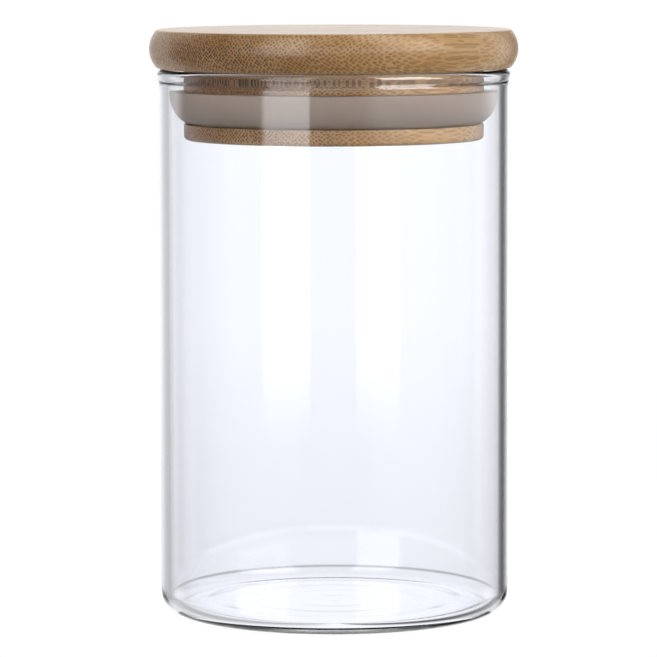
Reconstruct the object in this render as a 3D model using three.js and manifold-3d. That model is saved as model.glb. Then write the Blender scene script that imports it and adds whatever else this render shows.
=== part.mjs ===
// A lidded glass storage canister: a straight glass jar, a lid turned from a block of glued bamboo strips,
// and a silicone ring in a groove round the lid's plug.
// Millimetres, +Z up. The origin is the centre of the jar's base, and the bamboo's fibres run along Y.
import * as THREE from "three";
import { mergeVertices } from "three/addons/utils/BufferGeometryUtils.js";
import Module from "manifold-3d";

const wasm = await Module();
wasm.setup();

// The jar.
const JAR_DIAMETER = 85;
const JAR_HEIGHT = 132.7;
const WALL = 2.35;
const FLOOR = 2.4;
const BASE_CORNER_RADIUS = 5.4;
const INNER_CORNER_RADIUS = 3.3;
const RIM_PROUD = 0.45;
const RIM_BLEND_HEIGHT = 2.4;

// The lid, from the top down: the cap, then the plug's neck, groove and flange.
const CAP_OVERHANG = 2.3;
const CAP_THICKNESS = 9.3;
const CAP_BULGE_RADIUS = 6.8;
const CAP_CORNER_RADIUS = 0.9;
const NECK_HEIGHT = 5.3;
const GROOVE_HEIGHT = 8.1;
const GROOVE_DEPTH = 3.4;
const FLANGE_HEIGHT = 3.85;
const FLANGE_CORNER_RADIUS = 1.1;

// The block of bamboo: how many strips lie side by side across the cap, and how much of the plug is in its
// upper layer.
const STRIPS_ACROSS_CAP = 4.5;
const NECK_LAYER_HEIGHT = 8.7;

// The silicone ring's lip curves from its edge at the top to a foot that is drawn in under it. The curve
// leaves each end towards a point this far in or out, and down or up, from it.
const LIP_DRAW_IN = 4.9;
const LIP_EDGE_PULL_IN = 0.2;
const LIP_EDGE_PULL_DOWN = 3.6;
const LIP_FOOT_PULL_OUT = 3.1;
const LIP_FOOT_PULL_UP = 0.7;

// Clearances.
const SEAT_CLEARANCE = 0.2;
const PLUG_CLEARANCE = 3.7;
const LIP_CLEARANCE = 0.1;
const RING_BORE_CLEARANCE = 0.1;
const RING_END_CLEARANCE = 0.05;

// How finely the round surfaces are divided.
const AROUND = 60;
const CORNER_STEPS = 5;
const EDGE_STEPS = 7;

const jarRadius = JAR_DIAMETER / 2;
const boreRadius = jarRadius - WALL;
const capRadius = jarRadius + CAP_OVERHANG;
const plugRadius = boreRadius - PLUG_CLEARANCE;
const coreRadius = plugRadius - GROOVE_DEPTH;
const stripWidth = (2 * capRadius) / STRIPS_ACROSS_CAP;

const capBottom = JAR_HEIGHT + SEAT_CLEARANCE;
const capTop = capBottom + CAP_THICKNESS;
const grooveTop = capBottom - NECK_HEIGHT;
const grooveBottom = grooveTop - GROOVE_HEIGHT;
const flangeBottom = grooveBottom - FLANGE_HEIGHT;
const neckLayerBottom = capBottom - NECK_LAYER_HEIGHT;

// Points [r, z] on a quarter or half circle about [r, z], from one angle to another in degrees.
function arc(r, z, radius, from, to, steps) {
  return Array.from({ length: steps + 1 }, (_, i) => {
    const angle = THREE.MathUtils.degToRad(from + ((to - from) * i) / steps);
    return [r + radius * Math.cos(angle), z + radius * Math.sin(angle)];
  });
}

// A closed solid of revolution about Z from a profile of [r, z] points that runs anticlockwise.
function turned(profile) {
  const points = profile.map(([r, z]) => new THREE.Vector2(r, z));
  return new THREE.LatheGeometry(points, AROUND).rotateX(Math.PI / 2);
}

function solidOf(geometry) {
  const bare = geometry.clone();
  bare.deleteAttribute("normal");
  bare.deleteAttribute("uv");
  const merged = mergeVertices(bare, 1e-4);
  return new wasm.Manifold(
    new wasm.Mesh({
      numProp: 3,
      vertProperties: merged.attributes.position.array,
      triVerts: new Uint32Array(merged.index.array),
    }),
  );
}

function geometryOf(solid) {
  const mesh = solid.getMesh();
  const geometry = new THREE.BufferGeometry();
  geometry.setAttribute("position", new THREE.BufferAttribute(mesh.vertProperties, 3));
  geometry.setIndex(new THREE.BufferAttribute(mesh.triVerts, 1));
  geometry.computeVertexNormals();
  return geometry;
}

function named(name, geometry, material) {
  const mesh = new THREE.Mesh(geometry, material);
  mesh.name = name;
  return mesh;
}

const glass = new THREE.MeshStandardMaterial({
  color: 0xeaf0f4,
  roughness: 0.02,
  metalness: 0,
  transparent: true,
  opacity: 0.35,
});
const silicone = new THREE.MeshStandardMaterial({ color: 0xa79c8f, roughness: 0.5, metalness: 0 });
const bambooTones = [0xb98f60, 0xb18757, 0xc0976a].map(
  (color) => new THREE.MeshStandardMaterial({ color, roughness: 0.45, metalness: 0 }),
);

// The jar's outside runs up to a bead at the rim. The bead's inside stays flush with the bore, so that the
// ring slides past it.
function glassJar() {
  const beadRadius = (WALL + RIM_PROUD) / 2;
  const beadMiddle = JAR_HEIGHT - beadRadius;
  const footRadius = jarRadius - BASE_CORNER_RADIUS;
  const innerFootRadius = boreRadius - INNER_CORNER_RADIUS;
  return turned([
    [0, 0],
    ...arc(footRadius, BASE_CORNER_RADIUS, BASE_CORNER_RADIUS, -90, 0, CORNER_STEPS),
    [jarRadius, beadMiddle - RIM_BLEND_HEIGHT],
    ...arc(boreRadius + beadRadius, beadMiddle, beadRadius, 0, 180, 2 * CORNER_STEPS),
    ...arc(innerFootRadius, FLOOR + INNER_CORNER_RADIUS, INNER_CORNER_RADIUS, 0, -90, CORNER_STEPS),
    [0, FLOOR],
  ]);
}

// The ring fills its groove. Its flat top is as wide as the bore, and its lip narrows to a foot that lies
// on the flange.
function siliconeRing() {
  const inner = coreRadius + RING_BORE_CLEARANCE;
  const bottom = grooveBottom + RING_END_CLEARANCE;
  const top = grooveTop - RING_END_CLEARANCE;
  const lip = boreRadius - LIP_CLEARANCE;
  const foot = lip - LIP_DRAW_IN;
  const curve = new THREE.CubicBezierCurve(
    new THREE.Vector2(foot, bottom),
    new THREE.Vector2(foot + LIP_FOOT_PULL_OUT, bottom + LIP_FOOT_PULL_UP),
    new THREE.Vector2(lip - LIP_EDGE_PULL_IN, top - LIP_EDGE_PULL_DOWN),
    new THREE.Vector2(lip, top),
  );
  return turned([
    [inner, top],
    [inner, bottom],
    ...curve.getPoints(2 * CORNER_STEPS).map((point) => [point.x, point.y]),
    [inner, top],
  ]);
}

// The cap's edge bulges in one shallow curve from its underside to its top, with a small round at each
// corner. The curve is at most a full half round, and a corner takes at most half of its side of the cap.
function capLayer() {
  const half = CAP_THICKNESS / 2;
  const bulge = Math.max(CAP_BULGE_RADIUS, half);
  const round = Math.min(CAP_CORNER_RADIUS, half / 2);
  const middle = capBottom + half;
  const bulgeCentre = capRadius - bulge;
  const slant = THREE.MathUtils.radToDeg(Math.asin((half - round) / (bulge - round)));
  const corner = bulgeCentre + Math.sqrt((bulge - round) ** 2 - (half - round) ** 2);
  return turned([
    [0, capBottom],
    ...arc(corner, capBottom + round, round, -90, -slant, CORNER_STEPS),
    ...arc(bulgeCentre, middle, bulge, -slant, slant, 2 * EDGE_STEPS).slice(1, -1),
    ...arc(corner, capTop - round, round, slant, 90, CORNER_STEPS),
    [0, capTop],
  ]);
}

function neckLayer() {
  return turned([
    [0, neckLayerBottom],
    [coreRadius, neckLayerBottom],
    [coreRadius, grooveTop],
    [plugRadius, grooveTop],
    [plugRadius, capBottom],
    [0, capBottom],
  ]);
}

function flangeLayer() {
  const corner = plugRadius - FLANGE_CORNER_RADIUS;
  return turned([
    [0, flangeBottom],
    ...arc(corner, flangeBottom + FLANGE_CORNER_RADIUS, FLANGE_CORNER_RADIUS, -90, 0, CORNER_STEPS),
    [plugRadius, grooveBottom],
    [coreRadius, grooveBottom],
    [coreRadius, neckLayerBottom],
    [0, neckLayerBottom],
  ]);
}

// Cuts a layer of the lid into its strips, at joints given in strip widths from the middle. The sawn blank
// is twice the cap's width each way, so it clears the turned shape all round.
function strips(name, layer, joints) {
  const blank = 4 * capRadius;
  const cuts = [-blank / 2, ...joints.map((joint) => joint * stripWidth), blank / 2];
  const solid = solidOf(layer);
  return cuts.slice(1).map((to, i) => {
    const from = cuts[i];
    const block = new THREE.BoxGeometry(to - from, blank, blank);
    block.translate((from + to) / 2, 0, capBottom);
    const strip = solid.intersect(solidOf(block));
    return named(`${name}_strip_${i + 1}`, geometryOf(strip), bambooTones[i % bambooTones.length]);
  });
}

const lid = new THREE.Group();
lid.add(...strips("cap", capLayer(), [-1.5, -0.5, 0.5, 1.5]));
lid.add(...strips("neck", neckLayer(), [-1, 0, 1]));
lid.add(...strips("flange", flangeLayer(), [-1.5, -0.5, 0.5, 1.5]));

const canister = new THREE.Group();
canister.add(named("glass_jar", glassJar(), glass));
canister.add(named("silicone_gasket", siliconeRing(), silicone));
canister.add(lid);

export default canister;
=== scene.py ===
"""Looks of a lidded glass canister: a borosilicate jar, a turned bamboo lid and a silicone ring."""
import math

import bmesh
import bpy
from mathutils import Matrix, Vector


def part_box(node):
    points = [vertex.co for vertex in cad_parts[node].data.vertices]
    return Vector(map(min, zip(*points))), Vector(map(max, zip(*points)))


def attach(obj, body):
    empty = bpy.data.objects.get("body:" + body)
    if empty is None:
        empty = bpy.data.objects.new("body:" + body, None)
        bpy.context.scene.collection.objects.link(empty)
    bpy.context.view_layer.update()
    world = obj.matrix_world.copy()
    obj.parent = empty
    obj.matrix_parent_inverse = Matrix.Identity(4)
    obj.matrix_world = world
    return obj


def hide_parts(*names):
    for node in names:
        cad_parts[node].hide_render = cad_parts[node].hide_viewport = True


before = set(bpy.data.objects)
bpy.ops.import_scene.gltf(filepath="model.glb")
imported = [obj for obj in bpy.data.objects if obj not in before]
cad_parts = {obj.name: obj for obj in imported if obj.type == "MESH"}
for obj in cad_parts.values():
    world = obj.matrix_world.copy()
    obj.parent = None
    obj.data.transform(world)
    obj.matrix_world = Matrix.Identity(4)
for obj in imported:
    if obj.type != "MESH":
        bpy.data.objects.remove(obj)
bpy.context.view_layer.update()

MM = 0.001

# Sizes that the frame's boxes don't give, in metres. The rim is a bead that stands proud of the wall
# outside, and it also swells a little into the bore, by less than the silicone ring's clearance.
WALL = 2.35 * MM
FLOOR = 2.4 * MM
BASE_CORNER = 5.4 * MM
INNER_CORNER = 3.3 * MM
RIM_PROUD = 0.45 * MM
RIM_BLEND = 2.4 * MM
RIM_SWELL = 0.08 * MM
RIM_SWELL_HEIGHT = 1.8 * MM
CAP_BULGE = 6.8 * MM
CAP_CORNER = 0.9 * MM
NECK_HEIGHT = 5.3 * MM
GROOVE_HEIGHT = 8.1 * MM
GROOVE_DEPTH = 3.4 * MM
FLANGE_CORNER = 1.1 * MM
EASED_CORNER = 0.12 * MM

# The silicone ring: its clearance round the plug's core, and its lip. The lip curves from its edge at the
# top to a foot that is drawn in under it, and leaves each end towards a point this far in or out, and down
# or up.
RING_BORE_CLEARANCE = 0.1 * MM
LIP_DRAW_IN = 4.9 * MM
LIP_EDGE_PULL_IN = 0.2 * MM
LIP_EDGE_PULL_DOWN = 3.6 * MM
LIP_FOOT_PULL_OUT = 3.1 * MM
LIP_FOOT_PULL_UP = 0.7 * MM

# The faint rings in the upper side of the jar's floor: how far apart they are, how high, how far from the
# axis they begin to grow, the share of their height that is left nearer to it, and how far in from the
# floor's corner they take to rise.
FLOOR_RING_SPACING = 8.2 * MM
FLOOR_RING_HEIGHT = 0.05 * MM
FLOOR_RING_FADE = 24 * MM
FLOOR_RING_LEFT = 0.15
FLOOR_RING_RISE = FLOOR_RING_SPACING / 4

# How finely round shapes are divided: round the axis, along the jar's wall, its corners and its bead, and
# across its floor.
SEGMENTS = 240
WALL_STEPS = 48
CORNER_STEPS = 28
BEAD_STEPS = 40
FLOOR_STEPS = 160
# Points closer than this are one point, and edges sharper than this many degrees stay sharp.
WELD = 1e-7
SHARP_EDGE = 40
# The outermost strips of a layer are sawn this far outside it, where there is nothing to cut.
SAW_OVERRUN = 0.2 * MM

# Where the camera stands: its azimuth round the jar, its distance from the axis, its height above the
# floor, how far it looks down, how far left of the axis it stands, and how far it leans.
CAMERA_AZIMUTH = math.radians(47)
CAMERA_DISTANCE = 1036.4 * MM
CAMERA_HEIGHT = 171.2 * MM
CAMERA_DOWN = math.radians(5.62)
CAMERA_ASIDE = 1.2 * MM
CAMERA_ROLL = math.radians(0.1)
CAMERA_LENS = 233.56


def node(tree, kind, inputs=None, **settings):
    """Adds a node. Its inputs are values or other nodes' output sockets, by name or number."""
    made = tree.nodes.new(kind)
    for name, value in settings.items():
        setattr(made, name, value)
    for socket, value in (inputs or {}).items():
        if isinstance(value, bpy.types.NodeSocket):
            tree.links.new(value, made.inputs[socket])
        else:
            made.inputs[socket].default_value = value
    return made


def linear(hex_colour):
    """A linear RGBA colour from an sRGB hex string."""
    channels = [int(hex_colour[i:i + 2], 16) / 255 for i in (1, 3, 5)]
    return [c / 12.92 if c <= 0.04045 else ((c + 0.055) / 1.055) ** 2.4 for c in channels] + [1.0]


def empty_material(name):
    material = bpy.data.materials.new(name)
    material.use_nodes = True
    material.node_tree.nodes.clear()
    return material, material.node_tree


# ---- Outlines: lists of (radius, height) points, run anticlockwise ----

def arc(radius, height, size, start, end, steps):
    """Points on a round stretch about (radius, height), from one angle to another in degrees."""
    angles = [math.radians(start + (end - start) * i / steps) for i in range(steps + 1)]
    return [(radius + size * math.cos(a), height + size * math.sin(a)) for a in angles]


def line(start, end, steps):
    """Points along a straight stretch, without its two ends."""
    shares = [i / steps for i in range(1, steps)]
    return [tuple(a + (b - a) * t for a, b in zip(start, end)) for t in shares]


def bezier(points, steps):
    """Points on a cubic curve from the first point to the last."""
    curve = []
    for i in range(steps + 1):
        t = i / steps
        weights = ((1 - t) ** 3, 3 * t * (1 - t) ** 2, 3 * t * t * (1 - t), t ** 3)
        curve.append(tuple(sum(w * p[axis] for w, p in zip(weights, points)) for axis in (0, 1)))
    return curve


# ---- Turned pieces: a Geometry Nodes tree spins an outline about Z ----

def turning_tree():
    tree = bpy.data.node_groups.new("turned_about_z", "GeometryNodeTree")
    face = tree.interface
    face.new_socket("Outline", in_out="INPUT", socket_type="NodeSocketGeometry")
    face.new_socket("Segments", in_out="INPUT", socket_type="NodeSocketInt")
    face.new_socket("Material", in_out="INPUT", socket_type="NodeSocketMaterial")
    face.new_socket("Turned", in_out="OUTPUT", socket_type="NodeSocketGeometry")
    given = node(tree, "NodeGroupInput")
    points = node(tree, "GeometryNodeAttributeDomainSize", {0: given.outputs["Outline"]})
    rows = points.outputs["Point Count"]
    segments = given.outputs["Segments"]
    columns = node(tree, "ShaderNodeMath", {0: segments, 1: 1.0}, operation="ADD").outputs[0]
    grid = node(tree, "GeometryNodeMeshGrid", {"Vertices X": rows, "Vertices Y": columns})
    index = node(tree, "GeometryNodeInputIndex").outputs[0]
    share = node(tree, "ShaderNodeMath", {0: index, 1: columns}, operation="DIVIDE").outputs[0]
    row = node(tree, "ShaderNodeMath", {0: share}, operation="FLOOR").outputs[0]
    column = node(tree, "ShaderNodeMath", {0: index, 1: columns}, operation="MODULO").outputs[0]
    turn = node(tree, "ShaderNodeMath", {0: column, 1: segments}, operation="DIVIDE").outputs[0]
    angle = node(tree, "ShaderNodeMath", {0: turn, 1: math.tau}, operation="MULTIPLY").outputs[0]
    place = node(tree, "GeometryNodeInputPosition").outputs[0]
    point = node(
        tree, "GeometryNodeSampleIndex",
        {0: given.outputs["Outline"]}, data_type="FLOAT_VECTOR", domain="POINT",
    )
    tree.links.new(place, point.inputs["Value"])
    tree.links.new(row, point.inputs["Index"])
    spun = node(
        tree, "ShaderNodeVectorRotate",
        {"Vector": point.outputs[0], "Angle": angle}, rotation_type="Z_AXIS",
    )
    moved = node(
        tree, "GeometryNodeSetPosition",
        {"Geometry": grid.outputs["Mesh"], "Position": spun.outputs[0]},
    )
    closed = node(tree, "GeometryNodeMergeByDistance", {0: moved.outputs[0], "Distance": WELD})
    real = node(tree, "GeometryNodeRealizeInstances", {0: closed.outputs[0]})
    finished = node(
        tree, "GeometryNodeSetMaterial",
        {"Geometry": real.outputs[0], "Material": given.outputs["Material"]},
    )
    node(tree, "NodeGroupOutput", {0: finished.outputs[0]})
    return tree


TURNING = turning_tree()


def turned(name, outline, material):
    """A plain mesh object made by turning an outline of (radius, height) points about Z."""
    mesh = bpy.data.meshes.new(name + "_outline")
    mesh.from_pydata([(r, 0, z) for r, z in outline], [], [])
    source = bpy.data.objects.new(name + "_outline", mesh)
    bpy.context.scene.collection.objects.link(source)
    modifier = source.modifiers.new("turned", "NODES")
    modifier.node_group = TURNING
    values = {"Segments": SEGMENTS, "Material": material}
    for item in TURNING.interface.items_tree:
        if item.item_type == "SOCKET" and item.name in values:
            modifier[item.identifier] = values[item.name]
    evaluated = source.evaluated_get(bpy.context.evaluated_depsgraph_get())
    made = bpy.data.objects.new(name, bpy.data.meshes.new_from_object(evaluated))
    made.data.name = name
    bpy.context.scene.collection.objects.link(made)
    bpy.data.objects.remove(source)
    bpy.data.meshes.remove(mesh)
    face_outwards(made.data)
    return made


def face_outwards(mesh):
    """Turns all faces outwards and shades them smooth, apart from the sharp edges."""
    shape = bmesh.new()
    shape.from_mesh(mesh)
    bmesh.ops.dissolve_degenerate(shape, dist=WELD, edges=shape.edges)
    bmesh.ops.recalc_face_normals(shape, faces=shape.faces)
    shape.to_mesh(mesh)
    shape.free()
    mesh.shade_smooth()
    mesh.set_sharp_from_angle(angle=math.radians(SHARP_EDGE))


def sawn(layer, name, low, high, material):
    """A strip of a turned layer between two upright planes across X, closed where it was sawn."""
    shape = bmesh.new()
    shape.from_mesh(layer.data)
    for place, facing in ((low, -1), (high, 1)):
        everything = shape.verts[:] + shape.edges[:] + shape.faces[:]
        bmesh.ops.bisect_plane(
            shape, geom=everything, dist=WELD,
            plane_co=(place, 0, 0), plane_no=(facing, 0, 0), clear_outer=True,
        )
        rim = [edge for edge in shape.edges if edge.is_boundary]
        if rim:
            bmesh.ops.edgeloop_fill(shape, edges=rim)
    mesh = bpy.data.meshes.new(name)
    shape.to_mesh(mesh)
    shape.free()
    mesh.materials.append(material)
    strip = bpy.data.objects.new(name, mesh)
    bpy.context.scene.collection.objects.link(strip)
    face_outwards(mesh)
    return strip


# ---- Materials ----

# How deep the silicone's fine skin and the bamboo's grain are, and how far light runs in silicone.
RELIEF = 0.02 * MM
SILICONE_REACH = 2 * MM


def borosilicate_glass():
    """Clear borosilicate tube glass, fire polished: no grain at all, only what it mirrors and bends, and
    a faint cool cast."""
    material, tree = empty_material("borosilicate_glass")
    shader = node(
        tree, "ShaderNodeBsdfPrincipled",
        {
            "Base Color": linear("#fbfcff"), "Roughness": 0.0, "IOR": 1.473,
            "Transmission Weight": 1.0, "Specular IOR Level": 0.5,
        },
    )
    node(tree, "ShaderNodeOutputMaterial", {"Surface": shader.outputs[0]})
    return material


def silicone_rubber():
    """Moulded translucent silicone: milky, satin, slightly clouded, with the warm light of the bamboo
    behind it painted into its colour.
    """
    material, tree = empty_material("silicone_rubber")
    place = node(tree, "ShaderNodeTexCoord").outputs["Object"]
    cloud = node(tree, "ShaderNodeTexNoise", {"Vector": place, "Scale": 90.0, "Detail": 3.0})
    # Two warm greys clouded at random. Their warmth is painted light: the bamboo seen through the ring.
    colour = node(
        tree, "ShaderNodeMix",
        {0: cloud.outputs["Fac"], 6: linear("#a29284"), 7: linear("#ac9d8f")}, data_type="RGBA",
    )
    skin = node(tree, "ShaderNodeTexNoise", {"Vector": place, "Scale": 2500.0, "Detail": 2.0})
    bump = node(
        tree, "ShaderNodeBump",
        {"Strength": 0.15, "Distance": RELIEF, "Height": skin.outputs["Fac"]},
    )
    shader = node(
        tree, "ShaderNodeBsdfPrincipled",
        {
            "Base Color": colour.outputs[2], "Roughness": 0.42, "IOR": 1.41,
            "Subsurface Weight": 0.35, "Subsurface Radius": (1.0, 0.9, 0.8),
            "Subsurface Scale": SILICONE_REACH, "Normal": bump.outputs[0],
        },
    )
    node(tree, "ShaderNodeOutputMaterial", {"Surface": shader.outputs[0]})
    return material


# Bamboo, in millimetres: how far apart the fibre bundles lie in a row across the strip, and how far apart
# the rows are.
BUNDLE_PITCH = 0.92
ROW_PITCH = 0.54
# How the bundles drift sideways, as (cycles per millimetre along X, Y and Z) and how far in millimetres:
# they wander along a strip, and they jog from one place to the next.
DRIFTS = [
    ((0.05, 0.018, 0.05), 1.4),
    ((0.3, 0.32, 0.3), 0.34),
]
# The radius of a bundle as a share of its cell, on the culm's inner side and on its skin side, how much it
# varies from bundle to bundle, and how soft its outline is.
INNER_BUNDLE = 0.18
SKIN_BUNDLE = 0.27
BUNDLE_VARIES = 0.1
BUNDLE_SOFT = 0.16
# How fine the fibres between the bundles and the clouds of colour are, in cycles per millimetre each way.
THREADS = (4.2, 0.16, 4.2)
CLOUDS = (0.13, 0.04, 0.17)
# How light and how rough the ground is, from one fine fibre to another.
THREAD_LIGHTNESS = (0.84, 1.14)
THREAD_ROUGHNESS = (0.42, 0.58)
# The surface counts as end grain from this share of facing along the fibres. End grain has its ground
# dulled by one colour, and darker bundles than along the grain. The palest bundle hides this share of the
# ground.
END_GRAIN_FROM = 0.25
END_GRAIN_DULLED = "#d0c4bb"
END_BUNDLE = "#3a1d0a"
LONG_BUNDLE = "#a87c48"
PALEST_BUNDLE = 0.75
# The grounds of the strips, one after another, and the shades that they cloud into.
GROUNDS = ["#cda772", "#c8a16b", "#d1ab77", "#caa36f", "#cfa974"]
SHADES = ["#ba8d52", "#b38549", "#be9157", "#b7894e", "#bc8f54"]


def bamboo(name, ground, shade, seed, skin_up, layer):
    """Oiled bamboo strip, turned: dark bundle ends where the fibres are cut across, golden streaks along Y
    elsewhere. The bundles take up more of the wood towards the side that was the culm's skin."""
    material, tree = empty_material(name)
    place = node(tree, "ShaderNodeTexCoord")
    mm = node(
        tree, "ShaderNodeVectorMath", {0: place.outputs["Object"], "Scale": 1000.0}, operation="SCALE"
    ).outputs[0]
    # The fibres wander slowly along Y and jog a little, so that a streak never runs far.
    fibre = mm
    for pace, reach in DRIFTS:
        slow = node(tree, "ShaderNodeVectorMath", {0: mm, 1: pace}, operation="MULTIPLY").outputs[0]
        slow = node(
            tree, "ShaderNodeVectorMath", {0: slow, 1: (seed, 0, seed * 0.7)}, operation="ADD"
        ).outputs[0]
        drift = node(
            tree, "ShaderNodeTexNoise", {"Vector": slow, "Scale": 1.0, "Detail": 1.5}
        ).outputs["Color"]
        drift = node(
            tree, "ShaderNodeVectorMath", {0: drift, 1: (0.5, 0.5, 0.5)}, operation="SUBTRACT"
        ).outputs[0]
        fibre = node(
            tree, "ShaderNodeVectorMath",
            {0: drift, 1: (2 * reach, 0, 2 * reach), 2: fibre}, operation="MULTIPLY_ADD",
        ).outputs[0]
    across = node(tree, "ShaderNodeSeparateXYZ", {0: fibre})
    flat = node(
        tree, "ShaderNodeCombineXYZ", {0: across.outputs["X"], 1: across.outputs["Z"]}
    ).outputs[0]
    # Bundles: a jittered lattice of diamonds in the cross-section.
    lattice = node(
        tree, "ShaderNodeMapping",
        {
            "Vector": flat, "Location": (seed, seed * 0.37, 0), "Rotation": (0, 0, math.radians(45)),
            "Scale": (math.sqrt(2) / BUNDLE_PITCH, math.sqrt(0.5) / ROW_PITCH, 1),
        },
    ).outputs[0]
    cell = node(
        tree, "ShaderNodeTexVoronoi", {"Vector": lattice, "Scale": 1.0, "Randomness": 0.45},
        voronoi_dimensions="2D", feature="F1",
    )
    low, high = layer
    inner_side, skin_side = (low, high) if skin_up else (high, low)
    level = node(tree, "ShaderNodeSeparateXYZ", {0: mm}).outputs["Z"]
    depth = node(
        tree, "ShaderNodeMapRange",
        {"Value": level, "From Min": inner_side / MM, "From Max": skin_side / MM},
    ).outputs[0]
    size = node(
        tree, "ShaderNodeMapRange", {"Value": depth, "To Min": INNER_BUNDLE, "To Max": SKIN_BUNDLE}
    ).outputs[0]
    vary = node(tree, "ShaderNodeSeparateColor", {0: cell.outputs["Color"]})
    size = node(
        tree, "ShaderNodeMath",
        {0: vary.outputs["Red"], 1: BUNDLE_VARIES, 2: size}, operation="MULTIPLY_ADD",
    ).outputs[0]
    edge = node(tree, "ShaderNodeMath", {0: size, 1: BUNDLE_SOFT}, operation="ADD").outputs[0]
    bundle = node(
        tree, "ShaderNodeMapRange",
        {"Value": cell.outputs["Distance"], "From Min": edge, "From Max": size},
        interpolation_type="SMOOTHSTEP",
    ).outputs[0]
    # End grain drinks more oil: the ground is duller there and the bundles are dark.
    facing = node(tree, "ShaderNodeSeparateXYZ", {0: place.outputs["Normal"]}).outputs["Y"]
    facing = node(tree, "ShaderNodeMath", {0: facing}, operation="ABSOLUTE").outputs[0]
    end_grain = node(
        tree, "ShaderNodeMapRange", {"Value": facing, "From Min": END_GRAIN_FROM, "From Max": 1.0}
    ).outputs[0]
    # Fine fibres between the bundles, long along Y.
    thin = node(tree, "ShaderNodeVectorMath", {0: fibre, 1: THREADS}, operation="MULTIPLY").outputs[0]
    threads = node(
        tree, "ShaderNodeTexNoise", {"Vector": thin, "Scale": 1.0, "Detail": 4.0, "Roughness": 0.6}
    ).outputs["Fac"]
    broad = node(tree, "ShaderNodeVectorMath", {0: fibre, 1: CLOUDS}, operation="MULTIPLY").outputs[0]
    clouds = node(
        tree, "ShaderNodeTexNoise", {"Vector": broad, "Scale": 1.0, "Detail": 3.0}
    ).outputs["Fac"]
    clouds = node(
        tree, "ShaderNodeMapRange", {"Value": clouds, "From Min": 0.32, "From Max": 0.68}
    ).outputs[0]
    tone = node(
        tree, "ShaderNodeMix", {0: clouds, 6: linear(ground), 7: linear(shade)}, data_type="RGBA"
    ).outputs[2]
    dulled = node(
        tree, "ShaderNodeMix",
        {0: end_grain, 6: (1, 1, 1, 1), 7: linear(END_GRAIN_DULLED)}, data_type="RGBA",
    ).outputs[2]
    tone = node(tree, "ShaderNodeVectorMath", {0: tone, 1: dulled}, operation="MULTIPLY").outputs[0]
    lightness = node(
        tree, "ShaderNodeMapRange",
        {
            "Value": threads, "From Min": 0.3, "From Max": 0.7,
            "To Min": THREAD_LIGHTNESS[0], "To Max": THREAD_LIGHTNESS[1],
        },
    ).outputs[0]
    tone = node(tree, "ShaderNodeVectorMath", {0: tone, "Scale": lightness}, operation="SCALE").outputs[0]
    bundle_colour = node(
        tree, "ShaderNodeMix",
        {0: end_grain, 6: linear(LONG_BUNDLE), 7: linear(END_BUNDLE)}, data_type="RGBA",
    ).outputs[2]
    dark = node(
        tree, "ShaderNodeMath",
        {0: vary.outputs["Green"], 1: 1 - PALEST_BUNDLE, 2: PALEST_BUNDLE}, operation="MULTIPLY_ADD",
    ).outputs[0]
    cover = node(tree, "ShaderNodeMath", {0: bundle, 1: dark}, operation="MULTIPLY").outputs[0]
    colour = node(
        tree, "ShaderNodeMix", {0: cover, 6: tone, 7: bundle_colour}, data_type="RGBA"
    ).outputs[2]
    rough = node(
        tree, "ShaderNodeMapRange",
        {"Value": threads, "To Min": THREAD_ROUGHNESS[0], "To Max": THREAD_ROUGHNESS[1]},
    ).outputs[0]
    relief = node(tree, "ShaderNodeMath", {0: threads, 1: bundle}, operation="SUBTRACT").outputs[0]
    bump = node(
        tree, "ShaderNodeBump", {"Strength": 0.3, "Distance": RELIEF, "Height": relief}
    ).outputs[0]
    shader = node(
        tree, "ShaderNodeBsdfPrincipled",
        {
            "Base Color": colour, "Roughness": rough, "IOR": 1.5, "Coat Weight": 0.75,
            "Coat Roughness": 0.24, "Coat IOR": 1.5, "Normal": bump,
        },
    )
    node(tree, "ShaderNodeOutputMaterial", {"Surface": shader.outputs[0]})
    return material


# ---- The jar ----

def glass_jar():
    low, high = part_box("glass_jar")
    outer = high.x - RIM_PROUD
    bore = outer - WALL
    bead = (WALL + RIM_PROUD) / 2
    middle = high.z - bead
    foot = outer - BASE_CORNER
    inner_foot = bore - INNER_CORNER
    # The floor's upper side has faint rings, clearest near its corner and faintest in the middle.
    rings = []
    for i in range(1, FLOOR_STEPS + 1):
        r = inner_foot * (1 - i / FLOOR_STEPS)
        from_corner = inner_foot - r
        near_corner = max(0, (r - FLOOR_RING_FADE) / (inner_foot - FLOOR_RING_FADE))
        swell = FLOOR_RING_HEIGHT * (FLOOR_RING_LEFT + near_corner) * min(1, from_corner / FLOOR_RING_RISE)
        rings.append((r, FLOOR + swell * math.cos(math.tau * from_corner / FLOOR_RING_SPACING)))
    blend_steps, swell_steps = 12, 18
    blend = [
        (
            outer + RIM_PROUD * (1 - math.cos(math.pi * i / blend_steps)) / 2,
            middle - RIM_BLEND * (1 - i / blend_steps),
        )
        for i in range(1, blend_steps)
    ]
    swelling = [
        (
            bore - RIM_SWELL * (1 - math.cos(math.tau * i / swell_steps)) / 2,
            middle - RIM_SWELL_HEIGHT * i / swell_steps,
        )
        for i in range(1, swell_steps + 1)
    ]
    outline = [
        (0, low.z), *line((0, low.z), (foot, low.z), 24),
        *arc(foot, low.z + BASE_CORNER, BASE_CORNER, -90, 0, CORNER_STEPS),
        *line((outer, BASE_CORNER), (outer, middle - RIM_BLEND), WALL_STEPS),
        (outer, middle - RIM_BLEND), *blend,
        *arc(bore + bead, middle, bead, 0, 180, BEAD_STEPS),
        *swelling, *line((bore, middle - RIM_SWELL_HEIGHT), (bore, FLOOR + INNER_CORNER), WALL_STEPS),
        *arc(inner_foot, FLOOR + INNER_CORNER, INNER_CORNER, 0, -90, CORNER_STEPS)[:-1],
        (inner_foot, FLOOR), *rings,
    ]
    jar = turned("jar", outline, borosilicate_glass())
    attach(jar, "jar")
    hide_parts("glass_jar")


# ---- The silicone ring ----

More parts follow.
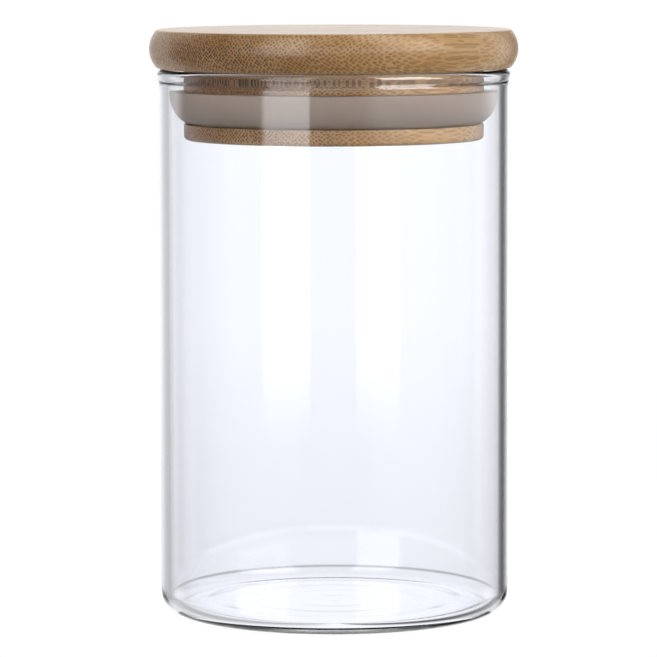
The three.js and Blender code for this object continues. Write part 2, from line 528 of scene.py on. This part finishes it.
def sealing_ring():
    low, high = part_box("silicone_gasket")
    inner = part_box("neck_strip_2")[1].y - GROOVE_DEPTH + RING_BORE_CLEARANCE
    lip = high.x
    foot = lip - LIP_DRAW_IN
    curve = bezier(
        [
            (foot, low.z),
            (foot + LIP_FOOT_PULL_OUT, low.z + LIP_FOOT_PULL_UP),
            (lip - LIP_EDGE_PULL_IN, high.z - LIP_EDGE_PULL_DOWN),
            (lip, high.z - EASED_CORNER),
        ],
        40,
    )
    outline = [
        (inner, high.z), *line((inner, high.z), (inner, low.z), 6), (inner, low.z),
        *line((inner, low.z), (foot, low.z), 4), *curve,
        *arc(lip - EASED_CORNER, high.z - EASED_CORNER, EASED_CORNER, 0, 90, 5)[1:],
        *line((lip - EASED_CORNER, high.z), (inner, high.z), 8), (inner, high.z),
    ]
    ring = turned("sealing_ring", outline, silicone_rubber())
    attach(ring, "gasket")
    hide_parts("silicone_gasket")


# ---- The lid ----

def lid():
    cap_low, cap_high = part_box("cap_strip_3")
    neck_low, neck_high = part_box("neck_strip_2")
    flange_low, flange_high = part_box("flange_strip_3")
    cap, plug = cap_high.y, neck_high.y
    core = plug - GROOVE_DEPTH
    groove_top = neck_high.z - NECK_HEIGHT
    groove_low = groove_top - GROOVE_HEIGHT
    ease = EASED_CORNER
    half = (cap_high.z - cap_low.z) / 2
    middle = cap_low.z + half
    bulge = cap - CAP_BULGE
    edge = bulge + math.sqrt((CAP_BULGE - CAP_CORNER) ** 2 - (half - CAP_CORNER) ** 2)
    slant = math.degrees(math.asin((half - CAP_CORNER) / (CAP_BULGE - CAP_CORNER)))
    corner = plug - FLANGE_CORNER
    layers = {
        "cap": [
            (0, cap_low.z), *line((0, cap_low.z), (edge, cap_low.z), 12),
            *arc(edge, cap_low.z + CAP_CORNER, CAP_CORNER, -90, -slant, 8),
            *arc(bulge, middle, CAP_BULGE, -slant, slant, 36)[1:-1],
            *arc(edge, cap_high.z - CAP_CORNER, CAP_CORNER, slant, 90, 8),
            *line((edge, cap_high.z), (0, cap_high.z), 12), (0, cap_high.z),
        ],
        "neck": [
            (0, neck_low.z), *line((0, neck_low.z), (core, neck_low.z), 6), (core, neck_low.z),
            (core, groove_top), *line((core, groove_top), (plug - ease, groove_top), 3),
            *arc(plug - ease, groove_top + ease, ease, -90, 0, 5),
            *line((plug, groove_top + ease), (plug, neck_high.z), 4), (plug, neck_high.z),
            *line((plug, neck_high.z), (0, neck_high.z), 6), (0, neck_high.z),
        ],
        "flange": [
            (0, flange_low.z), *line((0, flange_low.z), (corner, flange_low.z), 10),
            *arc(corner, flange_low.z + FLANGE_CORNER, FLANGE_CORNER, -90, 0, 12),
            *line((plug, flange_low.z + FLANGE_CORNER), (plug, groove_low - ease), 3),
            *arc(plug - ease, groove_low - ease, ease, 0, 90, 5),
            *line((plug - ease, groove_low), (core, groove_low), 3), (core, groove_low),
            (core, flange_high.z), *line((core, flange_high.z), (0, flange_high.z), 6),
            (0, flange_high.z),
        ],
    }
    heights = {
        "cap": (cap_low.z, cap_high.z), "neck": (neck_low.z, neck_high.z),
        "flange": (flange_low.z, flange_high.z),
    }
    counts = {"cap": 5, "neck": 4, "flange": 5}
    skin_up = {"cap": False, "neck": True, "flange": True}
    seed = 0
    for layer, outline in layers.items():
        blank = turned(layer + "_blank", outline, None)
        for i in range(counts[layer]):
            strip_node = f"{layer}_strip_{i + 1}"
            low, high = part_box(strip_node)
            seed += 1
            wood = bamboo(
                f"oiled_bamboo_{layer}_{i + 1}",
                GROUNDS[seed % len(GROUNDS)], SHADES[seed * 2 % len(SHADES)], 3.7 * seed,
                skin_up[layer], heights[layer],
            )
            left = low.x if i > 0 else low.x - SAW_OVERRUN
            right = high.x if i < counts[layer] - 1 else high.x + SAW_OVERRUN
            strip = sawn(blank, f"bamboo_{layer}_{i + 1}", left, right, wood)
            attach(strip, "lid")
            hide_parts(strip_node)
        bpy.data.objects.remove(blank)


# ---- Floor, light and camera ----

# The laminate floor: how pale it is, how pale it is to light that a bare surface throws back, how brightly
# it glows, how far it reaches each way, and how far below the jar's base it lies.
LAMINATE_PALENESS = 0.18
LAMINATE_PALENESS_BOUNCED = 0.05
LAMINATE_GLOW = 0.88
LAMINATE_REACH = 12000 * MM
LAMINATE_DROP = 0.02 * MM


def white_floor():
    """A pale laminate floor, lit to pure white. The glass and every gloss see the studio in its place, and
    bare surfaces see a duller floor."""
    material, tree = empty_material("white_laminate")
    path = node(tree, "ShaderNodeLightPath")
    bounced = node(
        tree, "ShaderNodeMath", {0: path.outputs["Diffuse Depth"], 1: 0.5}, operation="GREATER_THAN"
    ).outputs[0]
    bent = node(
        tree, "ShaderNodeMath",
        {0: path.outputs["Glossy Depth"], 1: path.outputs["Transmission Depth"]},
        operation="ADD",
    ).outputs[0]
    bent = node(tree, "ShaderNodeMath", {0: bent, 1: 0.5}, operation="GREATER_THAN").outputs[0]
    direct = node(tree, "ShaderNodeMath", {0: 1.0, 1: bounced}, operation="SUBTRACT").outputs[0]
    open_to = node(tree, "ShaderNodeMath", {0: bent, 1: direct}, operation="MULTIPLY").outputs[0]
    colour = node(
        tree, "ShaderNodeMix",
        {0: bounced, 6: (*[LAMINATE_PALENESS] * 3, 1), 7: (*[LAMINATE_PALENESS_BOUNCED] * 3, 1)},
        data_type="RGBA",
    ).outputs[2]
    pale = node(tree, "ShaderNodeBsdfDiffuse", {"Color": colour}).outputs[0]
    lit_up = node(tree, "ShaderNodeMath", {0: direct, 1: LAMINATE_GLOW}, operation="MULTIPLY").outputs[0]
    glow = node(tree, "ShaderNodeEmission", {"Color": (1, 1, 1, 1), "Strength": lit_up}).outputs[0]
    lit = node(tree, "ShaderNodeAddShader", {0: pale, 1: glow}).outputs[0]
    open_air = node(tree, "ShaderNodeBsdfTransparent").outputs[0]
    shown = node(tree, "ShaderNodeMixShader", {0: open_to, 1: lit, 2: open_air}).outputs[0]
    node(tree, "ShaderNodeOutputMaterial", {"Surface": shown})
    mesh = bpy.data.meshes.new("floor")
    reach = LAMINATE_REACH
    corners = [(-reach, -reach, 0), (reach, -reach, 0), (reach, reach, 0), (-reach, reach, 0)]
    mesh.from_pydata(corners, [], [(0, 1, 2, 3)])
    mesh.materials.append(material)
    floor = bpy.data.objects.new("floor", mesh)
    floor.location.z = -LAMINATE_DROP
    bpy.context.scene.collection.objects.link(floor)


# The studio, in degrees. Azimuth 0 is towards the main camera and 180 is behind the jar, positive to the
# camera's right. A softness is how far an edge fades to each side of its place.
# Lamps that a gloss mirrors: from azimuth, to azimuth, from elevation, to elevation, softness, brightness,
# and whether the polished rim shows it brighter than anything else does.
LAMPS = [
    (-48, -16, -6.2, 62, 1.2, 3.0, False),
    (25, 126, -5.6, 12, 9, 1.0, False),
    (-50, 62, 5, 24, 6, 1.3, False),
    (32, 75, 8, 80, 3, 3.6, True),
]
# What the polished rim multiplies such a lamp by, and what every gloss mirrors where there is no lamp.
RIM_LAMP = 3.4
DARK_ROOM = (0.05, 0.055, 0.07)
# The light tent is what bent light shows. It is white all round but for gaps, which darken the edges of
# the glass: azimuth, half width, softness, and how dark the gap is.
GAPS = [
    (154, 11, 8, 0.92),
    (197, 4, 14, 0.34),
    (213, 13, 10, 0.5),
    (107, 6, 6, 0.4),
    (249, 6, 6, 0.4),
    (-28, 6, 6, 0.5),
    (24, 6, 6, 0.5),
]
# How bright the tent is below one elevation and above the other, and its faint cool cast.
TENT_ELEVATIONS = (-9.0, -5.5)
TENT_BRIGHTNESS = (1.02, 1.17)
TENT_CAST = (0.985, 0.995, 1.01)
# Where the tent meets the table there is a thin dull line: elevation, half width, softness and how dull.
TABLE_EDGE = (-11.4, 0.5, 0.8, 0.6)
# A gloss mirrors the tent only behind the jar, from azimuth, to azimuth and softness, and below it, from
# under the nadir, to elevation and softness. A gloss that isn't seen through glass mirrors this share of
# what lies below.
TENT_BEHIND = (120, 236, 8)
TENT_BELOW = (-200, -15, 3)
BARE_TENT_BELOW = 0.1
# What lights bare surfaces: how bright it is below one elevation and above the other, how that changes
# from the camera's left to its right, and how many times brighter it is for what stands behind glass.
SKY_ELEVATIONS = (8.0, 42.0)
SKY_BRIGHTNESS = (1.9, 0.5)
SKY_SIDES = (0.78, 1.15)
SKY_THROUGH_GLASS = 3.0


def studio():
    world = bpy.data.worlds.new("studio")
    world.use_nodes = True
    world.cycles.sampling_method = "NONE"
    bpy.context.scene.world = world
    tree = world.node_tree
    tree.nodes.clear()
    way = node(tree, "ShaderNodeTexCoord").outputs["Generated"]
    way = node(
        tree, "ShaderNodeVectorRotate", {"Vector": way, "Angle": -CAMERA_AZIMUTH}, rotation_type="Z_AXIS"
    ).outputs[0]
    parts = node(tree, "ShaderNodeSeparateXYZ", {0: way})
    height = node(tree, "ShaderNodeMath", {0: parts.outputs["Z"]}, operation="ARCSINE").outputs[0]
    height = node(tree, "ShaderNodeMath", {0: height}, operation="DEGREES").outputs[0]
    rightwards, backwards = parts.outputs["X"], parts.outputs["Y"]
    towards = node(tree, "ShaderNodeMath", {0: backwards, 1: -1.0}, operation="MULTIPLY").outputs[0]
    azimuth = node(tree, "ShaderNodeMath", {0: rightwards, 1: towards}, operation="ARCTAN2").outputs[0]
    azimuth = node(tree, "ShaderNodeMath", {0: azimuth}, operation="DEGREES").outputs[0]
    # The azimuth jumps from 180 to -180 behind the jar, so what lies below -60 is measured on past 180.
    passed = node(tree, "ShaderNodeMath", {0: azimuth, 1: -60.0}, operation="LESS_THAN").outputs[0]
    azimuth = node(
        tree, "ShaderNodeMath", {0: passed, 1: 360.0, 2: azimuth}, operation="MULTIPLY_ADD"
    ).outputs[0]

    def between(value, first, last, soft):
        """1 from the first value to the last and 0 outside, with soft edges."""
        rise = node(
            tree, "ShaderNodeMapRange",
            {"Value": value, "From Min": first - soft, "From Max": first + soft},
            interpolation_type="SMOOTHSTEP",
        ).outputs[0]
        fall = node(
            tree, "ShaderNodeMapRange",
            {"Value": value, "From Min": last + soft, "From Max": last - soft},
            interpolation_type="SMOOTHSTEP",
        ).outputs[0]
        return node(tree, "ShaderNodeMath", {0: rise, 1: fall}, operation="MULTIPLY").outputs[0]

    def graded(value, places, levels):
        """The first level below the first place, the second above the second, and a ramp between."""
        return node(
            tree, "ShaderNodeMapRange",
            {
                "Value": value, "From Min": places[0], "From Max": places[1],
                "To Min": levels[0], "To Max": levels[1],
            },
        ).outputs[0]

    def darkened(value, where, depth):
        """The value, less a share of it wherever the other value is 1."""
        kept = node(
            tree, "ShaderNodeMath", {0: where, 1: -depth, 2: 1.0}, operation="MULTIPLY_ADD"
        ).outputs[0]
        return node(tree, "ShaderNodeMath", {0: value, 1: kept}, operation="MULTIPLY").outputs[0]

    tent = graded(height, TENT_ELEVATIONS, TENT_BRIGHTNESS)
    middle, half, soft, depth = TABLE_EDGE
    tent = darkened(tent, between(height, middle - half, middle + half, soft), depth)
    for middle, half, soft, depth in GAPS:
        tent = darkened(tent, between(azimuth, middle - half, middle + half, soft), depth)
    tent = node(tree, "ShaderNodeVectorMath", {0: TENT_CAST, "Scale": tent}, operation="SCALE").outputs[0]

    path = node(tree, "ShaderNodeLightPath")
    glazed = node(
        tree, "ShaderNodeMath",
        {0: path.outputs["Transmission Depth"], 1: 0.5},
        operation="GREATER_THAN",
    ).outputs[0]
    # Light that a polished surface has thrown back sharply, before it has crossed more than the near wall.
    near_wall = node(
        tree, "ShaderNodeMath",
        {0: path.outputs["Transmission Depth"], 1: 2.5},
        operation="LESS_THAN",
    ).outputs[0]
    sharp = node(
        tree, "ShaderNodeMath",
        {0: path.outputs["Is Singular Ray"], 1: near_wall},
        operation="MULTIPLY",
    ).outputs[0]
    strength = graded(sharp, (0.0, 1.0), (1.0, RIM_LAMP))
    mirrored = node(tree, "ShaderNodeCombineXYZ", dict(enumerate(DARK_ROOM))).outputs[0]
    for west, east, low, high, soft, power, sharpened in LAMPS:
        shape = node(
            tree, "ShaderNodeMath",
            {0: between(azimuth, west, east, soft), 1: between(height, low, high, soft)},
            operation="MULTIPLY",
        ).outputs[0]
        if sharpened:
            shape = node(tree, "ShaderNodeMath", {0: shape, 1: strength}, operation="MULTIPLY").outputs[0]
        lamp = node(
            tree, "ShaderNodeVectorMath", {0: (power, power, power), "Scale": shape}, operation="SCALE"
        ).outputs[0]
        mirrored = node(
            tree, "ShaderNodeVectorMath", {0: mirrored, 1: lamp}, operation="MAXIMUM"
        ).outputs[0]
    behind = between(azimuth, *TENT_BEHIND)
    below = between(height, *TENT_BELOW)
    share = graded(glazed, (0.0, 1.0), (BARE_TENT_BELOW, 1.0))
    below = node(tree, "ShaderNodeMath", {0: below, 1: share}, operation="MULTIPLY").outputs[0]
    around = node(tree, "ShaderNodeMath", {0: behind, 1: below}, operation="MAXIMUM").outputs[0]
    mirrored = node(
        tree, "ShaderNodeMix", {0: around, 6: mirrored, 7: tent}, data_type="RGBA"
    ).outputs[2]

    # Bare surfaces are lit from all round, most from near the horizon. What stands behind glass is lit
    # more, to make up for what the glass holds back.
    sky = graded(height, SKY_ELEVATIONS, SKY_BRIGHTNESS)
    side = graded(rightwards, (-1.0, 1.0), SKY_SIDES)
    sky = node(tree, "ShaderNodeMath", {0: sky, 1: side}, operation="MULTIPLY").outputs[0]
    made_up = graded(glazed, (0.0, 1.0), (1.0, SKY_THROUGH_GLASS))
    sky = node(tree, "ShaderNodeMath", {0: sky, 1: made_up}, operation="MULTIPLY").outputs[0]
    gloss = node(
        tree, "ShaderNodeMath", {0: path.outputs["Glossy Depth"], 1: 0.5}, operation="GREATER_THAN"
    ).outputs[0]
    bounced = node(
        tree, "ShaderNodeMath", {0: path.outputs["Diffuse Depth"], 1: 0.5}, operation="GREATER_THAN"
    ).outputs[0]
    shown = node(tree, "ShaderNodeMix", {0: gloss, 6: tent, 7: mirrored}, data_type="RGBA").outputs[2]
    shown = node(tree, "ShaderNodeMix", {0: bounced, 6: shown, 7: sky}, data_type="RGBA").outputs[2]
    shown = node(
        tree, "ShaderNodeMix",
        {0: path.outputs["Is Camera Ray"], 6: shown, 7: (1, 1, 1, 1)},
        data_type="RGBA",
    ).outputs[2]
    light = node(tree, "ShaderNodeBackground", {"Color": shown, "Strength": 1.0}).outputs[0]
    node(tree, "ShaderNodeOutputWorld", {"Surface": light})


def camera():
    data = bpy.data.cameras.new("camera")
    data.sensor_width = 36
    data.lens = CAMERA_LENS
    data.clip_start = 0.05
    data.clip_end = 60
    eye = bpy.data.objects.new("camera", data)
    bpy.context.scene.collection.objects.link(eye)
    back = Vector((math.sin(CAMERA_AZIMUTH), -math.cos(CAMERA_AZIMUTH), 0))
    right = Vector((math.cos(CAMERA_AZIMUTH), math.sin(CAMERA_AZIMUTH), 0))
    eye.location = back * CAMERA_DISTANCE - right * CAMERA_ASIDE + Vector((0, 0, CAMERA_HEIGHT))
    eye.rotation_euler = (math.pi / 2 - CAMERA_DOWN, CAMERA_ROLL, CAMERA_AZIMUTH)
    bpy.context.scene.camera = eye


def light_paths():
    """Enough bounces for light to cross both walls of the jar, and the rim and the base."""
    cycles = bpy.context.scene.cycles
    cycles.max_bounces = 24
    cycles.transmission_bounces = 20
    cycles.glossy_bounces = 12
    cycles.use_denoising = True
    bpy.context.scene.view_settings.view_transform = "Standard"


glass_jar()
sealing_ring()
lid()
white_floor()
studio()
camera()
light_paths()
